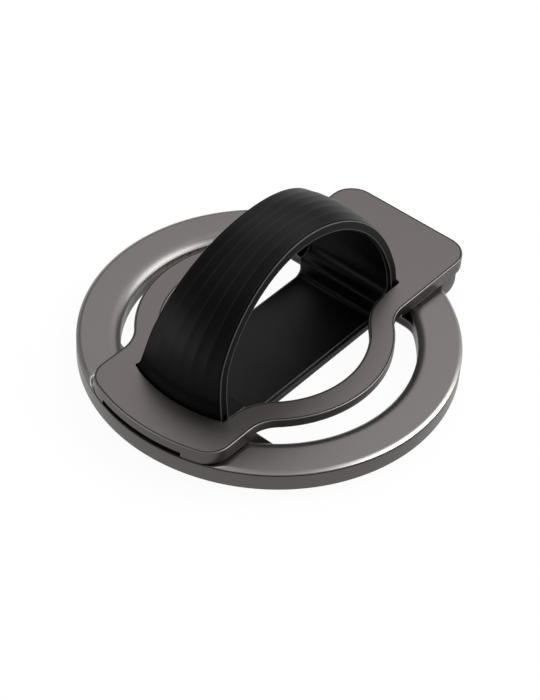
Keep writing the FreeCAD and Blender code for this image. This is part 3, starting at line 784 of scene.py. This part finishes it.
def frame_shell():
    """Grid of columns round the frame and stations round its section: outer edge and wall,
    underside, inner wall and edge, and the top with a fine line beside each edge, the inner one on
    the arms only. A station is a run moved sideways by an inset, with its level and edge value."""
    outer, inner, low = frame_half()
    mirror = np.array([-1.0, 1.0])
    outer = np.concatenate([outer, outer[-2:0:-1] * mirror])
    inner = np.concatenate([inner, inner[-2:0:-1] * mirror])
    low = np.concatenate([low, low[-2:0:-1]])
    stations = []
    marks = []

    def add(path, inset, level, mark):
        moved = parallel_run(path, inset)
        stations.append(np.column_stack([moved, np.broadcast_to(level, len(moved))]))
        marks.append(np.broadcast_to(mark, len(moved)))

    # The rounded edges carry a painted highlight.
    edge = zip(quarter_round(FRAME_EDGE_ROUND, steps=5), FRAME_EDGE_LIGHT)
    foot = zip(quarter_round(FRAME_FOOT_ROUND, steps=5)[::-1], FRAME_FOOT_LIGHT)
    wall = [(inset, FRAME_TOP - drop, light) for (inset, drop), light in edge]
    wall.append((0, FRAME_TOP - FRAME_EDGE_ROUND - FRAME_ROW_GAP, 0))
    wall.append((0, low + FRAME_FOOT_ROUND + FRAME_ROW_GAP, 0))
    wall += [(inset, low + drop, light) for (inset, drop), light in foot]
    wall.append((FRAME_FOOT_ROUND + FRAME_ROW_GAP, low, 0))
    for inset, level, light in wall:
        add(outer, -inset, level, light)
    for inset, level, light in wall[::-1]:
        add(inner, inset, level, light)
    # The fine lines on the top carry painted shade.
    line = fine_line(FRAME_EDGE_ROUND + FRAME_LINE_INSET, LINE_WIDTH)
    line.append((FRAME_EDGE_ROUND + FRAME_FLAT_INSET, 0))
    arm = (low == ARM_BOTTOM).astype(float)
    for (inset, depth), shade in zip(line, FRAME_LINE_SHADE):
        add(inner, inset, FRAME_TOP - depth * arm, shade * arm)
    for (inset, depth), shade in zip(line[::-1], FRAME_LINE_SHADE[::-1]):
        add(outer, -inset, FRAME_TOP - depth, shade)
    points, faces = loft(np.stack(stations, 1))
    return points, faces, np.stack(marks, 1).ravel()


def box_shell(x, y, z):
    """A block between the low and high sides given for each axis."""
    low = np.array([min(x), min(y), min(z)])
    high = np.array([max(x), max(y), max(z)])
    square = [(0, 0), (1, 0), (1, 1), (0, 1)]
    picks = np.array([(*corner, level) for level in (0, 1) for corner in square])
    faces = [(0, 3, 2, 1), (4, 5, 6, 7), (0, 1, 5, 4), (1, 2, 6, 5), (2, 3, 7, 6), (3, 0, 4, 7)]
    return low + picks * (high - low), faces


def carve(mesh, tools):
    """The mesh with each tool cut out of it by an exact Boolean."""
    block = bpy.data.objects.new("blank", mesh)
    bpy.context.scene.collection.objects.link(block)
    cutters = []
    for number, tool in enumerate(tools):
        cutter = bpy.data.objects.new("tool_%d" % number, make_mesh("tool_%d" % number, [tool]))
        bpy.context.scene.collection.objects.link(cutter)
        cut = block.modifiers.new("cut_%d" % number, "BOOLEAN")
        cut.operation = "DIFFERENCE"
        cut.solver = "EXACT"
        cut.object = cutter
        cutters.append(cutter)
    bpy.context.view_layer.update()
    ready = block.evaluated_get(bpy.context.evaluated_depsgraph_get())
    carved = bpy.data.meshes.new_from_object(ready)
    for spare in [block] + cutters:
        bpy.data.objects.remove(spare)
    carved.set_sharp_from_angle(angle=SHARP_ANGLE)
    return carved


def notch_tool():
    """Thumbnail notch along the front edge, a block that follows the ring's curve."""
    left = math.asin(NOTCH_LEFT / RING_OUTER_R)
    right = math.asin(NOTCH_RIGHT / RING_OUTER_R)
    sweep = np.linspace(left, right, 40)[:, None]
    inner = RING_OUTER_R - NOTCH_DEPTH
    outer = RING_OUTER_R + NOTCH_DEPTH
    radius = np.array([inner, outer, outer, inner])
    low = TAB_BOTTOM - NOTCH_DEPTH
    level = np.array([low, low, TAB_BOTTOM + NOTCH_HEIGHT, TAB_BOTTOM + NOTCH_HEIGHT])
    x = radius * np.sin(sweep)
    y = -radius * np.cos(sweep)
    return loft(np.stack([x, y, np.broadcast_to(level, x.shape)], -1), closed=False)


def relief_tool(side):
    """Upright rod that rounds out the slot's left corner at the front (-1) or the rear (1)."""
    turn = np.linspace(0, 2 * math.pi, SLOT_RELIEF_SIDES, endpoint=False)
    x = SLOT_RELIEF_X + SLOT_RELIEF_R * np.cos(turn)
    y = side * SLOT_RELIEF_Y + SLOT_RELIEF_R * np.sin(turn)
    levels = (TAB_BOTTOM - 1, FRAME_TOP + 1)
    rings = [np.column_stack([x, y, np.full_like(x, level)]) for level in levels]
    return loft(np.stack(rings), closed=False)


def pocket_tool(side, half_width, outer_y, low, high):
    """Block that cuts a pocket into the underside of the front (-1) or the rear (1) tab."""
    return box_shell((-half_width, half_width), (side * POCKET_INNER_Y, side * outer_y), (low, high))


def ear_shell(side):
    """One ear: round about the hinge axis and straight up into the tab."""
    top = TAB_BOTTOM + EAR_SINK
    sweep = np.linspace(-math.pi, 0, 40)
    below = np.column_stack([HINGE_Y + LUG_R * np.cos(sweep), HINGE_Z + LUG_R * np.sin(sweep)])
    rear = np.linspace((HINGE_Y + LUG_R, HINGE_Z), (HINGE_Y + LUG_R, top), 8)[1:]
    over = np.linspace((HINGE_Y + LUG_R, top), (HINGE_Y - LUG_R, top), 12)[1:]
    front = np.linspace((HINGE_Y - LUG_R, top), (HINGE_Y - LUG_R, HINGE_Z), 8)[1:-1]
    outline = np.concatenate([below, rear, over, front])
    blind = PIN_BLIND_X if side > 0 else None
    return hinge_bar(outline, PIN_R, side * LUG_INNER_X, side * LUG_OUTER_X, EAR_ROUND, blind)


frame_tools = [notch_tool()]
for side in (-1, 1):
    frame_tools.append(pocket_tool(side, STRIP_POCKET_HALF_WIDTH, STRIP_POCKET_OUTER_Y,
                                   TAB_BOTTOM - 1, STRIP_TOP))
    frame_tools.append(pocket_tool(side, FLANGE_POCKET_HALF_WIDTH, FLANGE_POCKET_OUTER_Y,
                                   STRIP_BOTTOM, POCKET_TOP))
    frame_tools.append(relief_tool(side))
frame_mesh = carve(make_mesh("stand_plate_blank", [frame_shell()]), frame_tools)
frame_metal = satin_metal("gunmetal_frame", FRAME_GREY, roughness=0.38)
make_piece("stand_plate", frame_mesh, frame_metal, "stand", "satin_gunmetal", "stand_frame")
ears_mesh = make_mesh("hinge_ears", [ear_shell(-1), ear_shell(1)])
make_piece("hinge_ears", ears_mesh, frame_metal, "stand", "satin_gunmetal")


# Finger loop: one piece of black silicone, moulded as a broad arch on a flat lower band. The arch is
# crowned and faintly banded, rounded at its outer edges and chamfered at its inner ones, and each foot
# turns in over the ring's shelf with a wide fillet. A flange under each tab holds it.
LOOP_CENTRE_Z = FRAME_TOP - 2.3
LOOP_THICK = 1.65
ARCH_R = LOOP_R + 0.445
ARCH_INNER_R = ARCH_R - LOOP_THICK
ARCH_RISE = math.sqrt(ARCH_R ** 2 - LOOP_R ** 2)
FOOT_INNER_R = math.sqrt(ARCH_INNER_R ** 2 - ARCH_RISE ** 2)
HEEL = math.radians(14)
RADIAL_TURN = math.radians(40)
FOOT_BLEND = 0.15
FOOT_BOTTOM = SHELF_TOP + 0.15
FOOT_FLOOR = FOOT_BOTTOM + 1.6
FOOT_FILLET = 1.6
STRAIGHT_FROM = LOOP_CENTRE_Z + 11.0
BAND_BOTTOM = 0.03
BAND_TOP = BAND_BOTTOM + 1.6
FRONT_BAND_Y = FRONT_SHELF_Y - 0.35
REAR_BAND_Y = REAR_SHELF_Y - 0.35
RISER_THICK = 1.45
RISER_ROUND = 0.6
BAND_FILLET = 0.95
FOOT_HALF_WIDTH = TAB_HALF_WIDTH - ARM_WIDTH - 0.38
BAND_HALF_WIDTH = FOOT_HALF_WIDTH - 0.5
LOOP_TAPER = [(6.0, 0.0), (18.4, 0.97), (31.4, 1.64), (51.0, 2.37), (90.0, 3.19)]
FRONT_LEAN = 0.4
LEAN_FULL = 2.2
LEAN_HELD = 3.0
LEAN_FADE = 5.0
ARCH_ROWS = 170
BAND_ROWS = 30
LOOP_EDGE_ROUND = 0.2
LOOP_LINE_INSET = 0.02
LOOP_LINE_WIDTH = 0.10
LOOP_FACE_INSET = 0.11
LOOP_CHAMFER = 0.42
CHAMFER_EASE = [(0, 0.14), (0, 0.07), (0.012, -0.01), (0.06, -0.07)]
LOOP_BACK_INSET = 0.25
LOOP_BACK_SPANS = 18
LOOP_BANDS = 6
BAND_SPANS = 9
LOOP_FLUTING = 2.0
FLUTING_FROM = LOOP_CENTRE_Z + 1.0
FLUTING_RISE = 9.0
# Painted highlight along the creases between the arch's bands, rising to full over the crease rise.
LOOP_CREASE = 0.07
CREASE_FROM = LOOP_CENTRE_Z + 9.0
CREASE_RISE = 10.0
# Edge values: painted shade in the fine lines, and painted highlights on the round outer edges and at
# the chamfer's corners.
LOOP_LINE_SHADE = [0, -1, -1, 0]
LOOP_EDGE_LIGHT = [0, 0, 0.6, 1, 0.6, 0, 0]
CHAMFER_LIGHT = [0, 0.6, 0.8, 0, 0, 0.8, 0.6, 0]
CORNER_ROUND = 0.3
FLANGE_HALF_WIDTH = FOOT_HALF_WIDTH - 0.2
FLANGE_OUTER_Y = SLOT_R + 1.8
LOOP_BLACK = (0.0011, 0.0011, 0.0012, 1.0)


def smooth_step(share):
    """0 up to 0, 1 from 1, and share ** 2 * (3 - 2 * share) between them."""
    share = np.clip(share, 0, 1)
    return share * share * (3 - 2 * share)


def half_width(height):
    """Half width of the loop at a height: the band's up to its top, a smooth widening to the foot's
    at the frame's top, then a smooth taper through the given places, angles up from the foot."""
    lifts = ARCH_R * np.sin(np.radians([angle for angle, taper in LOOP_TAPER]))
    widths = FOOT_HALF_WIDTH - np.array([taper for angle, taper in LOOP_TAPER])
    curve = np.polyfit(lifts, widths, len(LOOP_TAPER) - 1)
    lift = height - LOOP_CENTRE_Z
    widening = smooth_step((height - BAND_TOP) / (FRAME_TOP - BAND_TOP))
    low = BAND_HALF_WIDTH + (FOOT_HALF_WIDTH - BAND_HALF_WIDTH) * widening
    return np.where(lift > lifts[0], np.polyval(curve, np.clip(lift, lifts[0], ARCH_R)), low)


def wall_distance(arch_r, foot_r, height):
    """Distance of the loop's surface from the Z axis: the sphere's, no more than the foot's."""
    sphere = np.sqrt(np.maximum(arch_r ** 2 - (height - LOOP_CENTRE_Z) ** 2, 0))
    return smooth_min(sphere, np.full_like(sphere, foot_r), FOOT_BLEND)


def foot_runs(band_y):
    """Outer and inner run of one foot, from the arch down to the band, as (distance, height), with
    the share of the bow across the width at each point."""
    riser_y = band_y - RISER_THICK
    turn_y = riser_y + RISER_ROUND
    fillet_y = FOOT_INNER_R - FOOT_FILLET
    heel = math.sin(HEEL)
    down = -math.pi / 2
    soft = CORNER_ROUND
    outer_z = np.linspace(LOOP_CENTRE_Z + ARCH_R * heel, FOOT_BOTTOM + soft, 16)[1:]
    inner_z = np.linspace(LOOP_CENTRE_Z + ARCH_INNER_R * heel, FOOT_FLOOR + FOOT_FILLET, 16)[1:]
    outer = [np.column_stack([wall_distance(ARCH_R, LOOP_R, outer_z), outer_z]),
             arc((LOOP_R - soft, FOOT_BOTTOM + soft), soft, 0, down, 13)[1:],
             np.linspace((LOOP_R - soft, FOOT_BOTTOM), (band_y + soft, FOOT_BOTTOM), 9)[1:],
             arc((band_y + soft, FOOT_BOTTOM - soft), soft, -down, math.pi, 8)[1:],
             arc((band_y - soft, BAND_BOTTOM + soft), soft, 0, down, 10)]
    inner = [np.column_stack([wall_distance(ARCH_INNER_R, FOOT_INNER_R, inner_z), inner_z]),
             arc((fillet_y, FOOT_FLOOR + FOOT_FILLET), FOOT_FILLET, 0, down, 13)[1:],
             np.linspace((fillet_y, FOOT_FLOOR), (turn_y, FOOT_FLOOR), 9)[1:],
             arc((turn_y, FOOT_FLOOR - RISER_ROUND), RISER_ROUND, -down, math.pi, 8)[1:],
             arc((riser_y - BAND_FILLET, BAND_TOP + BAND_FILLET), BAND_FILLET, 0, down, 10)]
    bowed = len(outer[0]) + len(outer[1])
    fading = len(outer[2])
    flat = len(outer[3]) + len(outer[4])
    crown = np.concatenate([np.ones(bowed), np.linspace(1, 0, fading + 1)[1:], np.zeros(flat)])
    return np.concatenate(outer), np.concatenate(inner), crown


class LoopFace:
    """One face of the loop, outer or inner, as rows down the rear foot, along the band, up the front
    foot and back over the arch. Foot and band rows are points of the middle plane. Arch rows are
    angles, level with the ground near the feet and radial from the centre near the top. The inner
    face loses its bow across the width by the top of its fillet, so that the fillet is straight. The
    front leg leans in a little just above the frame."""

    def __init__(self, rear, front, crowns, arch_r, foot_r, inward):
        flip = np.array([-1.0, 1.0])
        between = np.linspace(0, 1, BAND_ROWS + 2)[1:-1, None]
        band = rear[-1] + (front[-1] * flip - rear[-1]) * between
        self.run = np.concatenate([rear, band, front[::-1] * flip])
        self.crown = np.concatenate([crowns[0], np.zeros(len(band)), crowns[1][::-1]])
        self.arch_r = arch_r
        self.foot_r = foot_r
        self.inward = inward
        self.sweep = np.linspace(math.pi - HEEL, HEEL, ARCH_ROWS)
        climb = np.minimum(self.sweep, math.pi - self.sweep)
        self.radial = smooth_step((climb - HEEL) / RADIAL_TURN)
        ahead = np.gradient(self.run, axis=0)
        normal = np.stack([ahead[:, 1], -ahead[:, 0]], 1)
        self.normal = normal / np.linalg.norm(normal, axis=1, keepdims=True)

    def points(self, side, inset, depth=0.0):
        """Points at a share of the width less an inset, that deep under the face. The width is taken
        at the points' own height, which a few rounds of x, then height, then width settle."""
        arch_r = self.arch_r + self.inward * depth
        run = self.run - self.normal * depth * self.inward
        width = np.full(len(run) + len(self.sweep), FOOT_HALF_WIDTH)
        for number in range(5):
            x = side * (width - inset)
            chord = np.sqrt(arch_r ** 2 - x[len(run):] ** 2)
            lift = np.sin(self.sweep) * (arch_r + (chord - arch_r) * self.radial)
            height = np.concatenate([run[:, 1], LOOP_CENTRE_Z + lift])
            width = half_width(height)
        straight = smooth_step((STRAIGHT_FROM - height) / (STRAIGHT_FROM - FOOT_FLOOR - FOOT_FILLET))
        straight *= max(self.inward, 0)
        across = np.sqrt(x ** 2 * (1 - straight) + width ** 2 * straight)
        foot_x = across[:len(run)]
        # The radius of the bow stays over the half width, which keeps its square root real.
        radius = np.maximum(np.abs(run[:, 0]), foot_x + 0.1)
        bow = self.crown * (radius - np.sqrt(radius ** 2 - foot_x ** 2))
        foot_y = run[:, 0] - np.sign(run[:, 0]) * bow
        arch_x = across[len(run):]
        away = wall_distance(arch_r, self.foot_r + self.inward * depth, height[len(run):])
        arch_y = np.sign(np.cos(self.sweep)) * np.sqrt(np.maximum(away ** 2 - arch_x ** 2, 0))
        y = np.concatenate([foot_y, arch_y])
        above = height - FRAME_TOP
        fade = smooth_step((above - LEAN_HELD) / LEAN_FADE)
        lean = FRONT_LEAN * smooth_step(above / LEAN_FULL) * (1 - fade)
        return np.column_stack([x, np.where(y < 0, y + lean, y), height])


def loop_edge():
    """Section of the loop's edge from its outer to its inner face: a fine line and a round edge on
    the outer face, then the side and a chamfer to the inner one, whose corners are eased alike. Each
    station is (inset from the side, depth under the face, edge value)."""
    line = fine_line(LOOP_EDGE_ROUND + LOOP_LINE_INSET, LOOP_LINE_WIDTH)[::-1]
    places = line + quarter_round(LOOP_EDGE_ROUND, steps=6)
    # Painted shade in the fine line, painted highlight on the round edge and at the chamfer's corners.
    outer = [(*place, mark) for place, mark in zip(places, LOOP_LINE_SHADE + LOOP_EDGE_LIGHT)]
    corner = [(inset, LOOP_CHAMFER + past) for inset, past in CHAMFER_EASE]
    places = corner + [(depth, inset) for inset, depth in corner[::-1]]
    inner = [(*place, mark) for place, mark in zip(places, CHAMFER_LIGHT)]
    return outer, inner


def loop_shell():
    """Grid of rows along the loop and stations round its section: outer face, edge, side, chamfer,
    inner face and back. Each lengthwise band of the arch is sunk below the crown by the fluting times
    share * (1 - share) * band ** 2 / (2 * radius), and a fluting of 1 would make it flat across."""
    rear = foot_runs(REAR_BAND_Y)
    front = foot_runs(FRONT_BAND_Y)
    outer = LoopFace(rear[0], front[0], (rear[2], front[2]), ARCH_R, LOOP_R, -1)
    inner = LoopFace(rear[1], front[1], (rear[2], front[2]), ARCH_INNER_R, FOOT_INNER_R, 1)
    margin = LOOP_EDGE_ROUND + LOOP_LINE_WIDTH + LOOP_FACE_INSET
    level = outer.points(0, 0)[:, 2]
    fluting = LOOP_FLUTING * smooth_step((level - FLUTING_FROM) / FLUTING_RISE)
    crease = LOOP_CREASE * smooth_step((level - CREASE_FROM) / CREASE_RISE)
    band = half_width(level) * 2 / LOOP_BANDS
    stations = []
    marks = []

    def add(points, mark):
        stations.append(points)
        marks.append(np.broadcast_to(mark, level.shape))

    for number in range(LOOP_BANDS * BAND_SPANS + 1):
        share = number % BAND_SPANS / BAND_SPANS
        place = outer.points(2 * number / (LOOP_BANDS * BAND_SPANS) - 1, margin)
        sink = fluting * share * (1 - share) * band ** 2 / (2 * ARCH_R)
        out = place - np.array([0, 0, LOOP_CENTRE_Z])
        out /= np.linalg.norm(out, axis=1, keepdims=True)
        # Crease rows carry a painted highlight.
        add(place - out * sink[:, None], crease if share == 0 else 0)

    outer_edge, inner_edge = loop_edge()
    for inset, depth, mark in outer_edge:
        add(outer.points(1, inset, depth), mark)
    for inset, depth, mark in inner_edge:
        add(inner.points(1, inset, depth), mark)
    for span in np.linspace(1, -1, LOOP_BACK_SPANS + 1):
        add(inner.points(span, LOOP_CHAMFER + LOOP_BACK_INSET), 0)
    for inset, depth, mark in inner_edge[::-1]:
        add(inner.points(-1, inset, depth), mark)
    for inset, depth, mark in outer_edge[::-1]:
        add(outer.points(-1, inset, depth), mark)
    points, faces = loft(np.stack(stations, 1))
    return points, faces, np.stack(marks, 1).ravel()


def flange_shell(side):
    """Flange at the front (-1) or the rear (1), from inside the foot out into the tab's pocket."""
    root_y = (FOOT_INNER_R + math.sqrt(LOOP_R ** 2 - FLANGE_HALF_WIDTH ** 2)) / 2
    return box_shell((-FLANGE_HALF_WIDTH, FLANGE_HALF_WIDTH), (side * root_y, side * FLANGE_OUTER_Y),
                     (STRIP_TOP, POCKET_TOP))


loop_rubber = soft_rubber("black_silicone_satin", LOOP_BLACK, roughness=0.42, specular=0.09,
                          grain_size=0.10, grain_height=0.003)
loop_mesh = make_mesh("silicone_loop", [loop_shell(), flange_shell(-1), flange_shell(1)])
make_piece("silicone_loop", loop_mesh, loop_rubber, "stand", "black_silicone", "finger_loop")


# Small hidden parts, which keep the CAD's own meshes. Magnets are nickel plated, the shield above
# them and the clamp strips are bare sheet steel, the screws and the pin are turned steel, and the
# sleeve and washers are bronze.
def plain_metal(name, colour, roughness, grain_scale):
    """Bare or plated metal with fine uneven gloss."""
    material, finish, shader = principled(name, colour, 1.0, roughness)
    uneven_gloss(finish, shader, roughness, (noise(finish, grain_scale, detail=3.0), 0.2))
    return material


def dress(material, *nodes):
    """The material on CAD nodes that keep their own mesh."""
    for name in nodes:
        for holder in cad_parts[name].material_slots:
            holder.material = material


nickel = plain_metal("nickel_plate", (0.62, 0.58, 0.53, 1.0), roughness=0.28, grain_scale=900.0)
sheet_steel = plain_metal("sheet_steel", (0.48, 0.48, 0.49, 1.0), roughness=0.38, grain_scale=2500.0)
turned_steel = plain_metal("turned_steel", (0.55, 0.55, 0.56, 1.0), roughness=0.30, grain_scale=4000.0)
bronze = plain_metal("spring_bronze", (0.50, 0.33, 0.16, 1.0), roughness=0.34, grain_scale=2500.0)
magnets = [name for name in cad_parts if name.startswith("magnet_") and name != "magnet_shield"]
dress(nickel, *magnets)
dress(sheet_steel, "magnet_shield", "front_clamp_strip", "rear_clamp_strip")
dress(turned_steel, "front_clamp_screws", "rear_clamp_screws", "hinge_pin")
dress(bronze, "friction_sleeve", "left_hinge_washer", "right_hinge_washer")
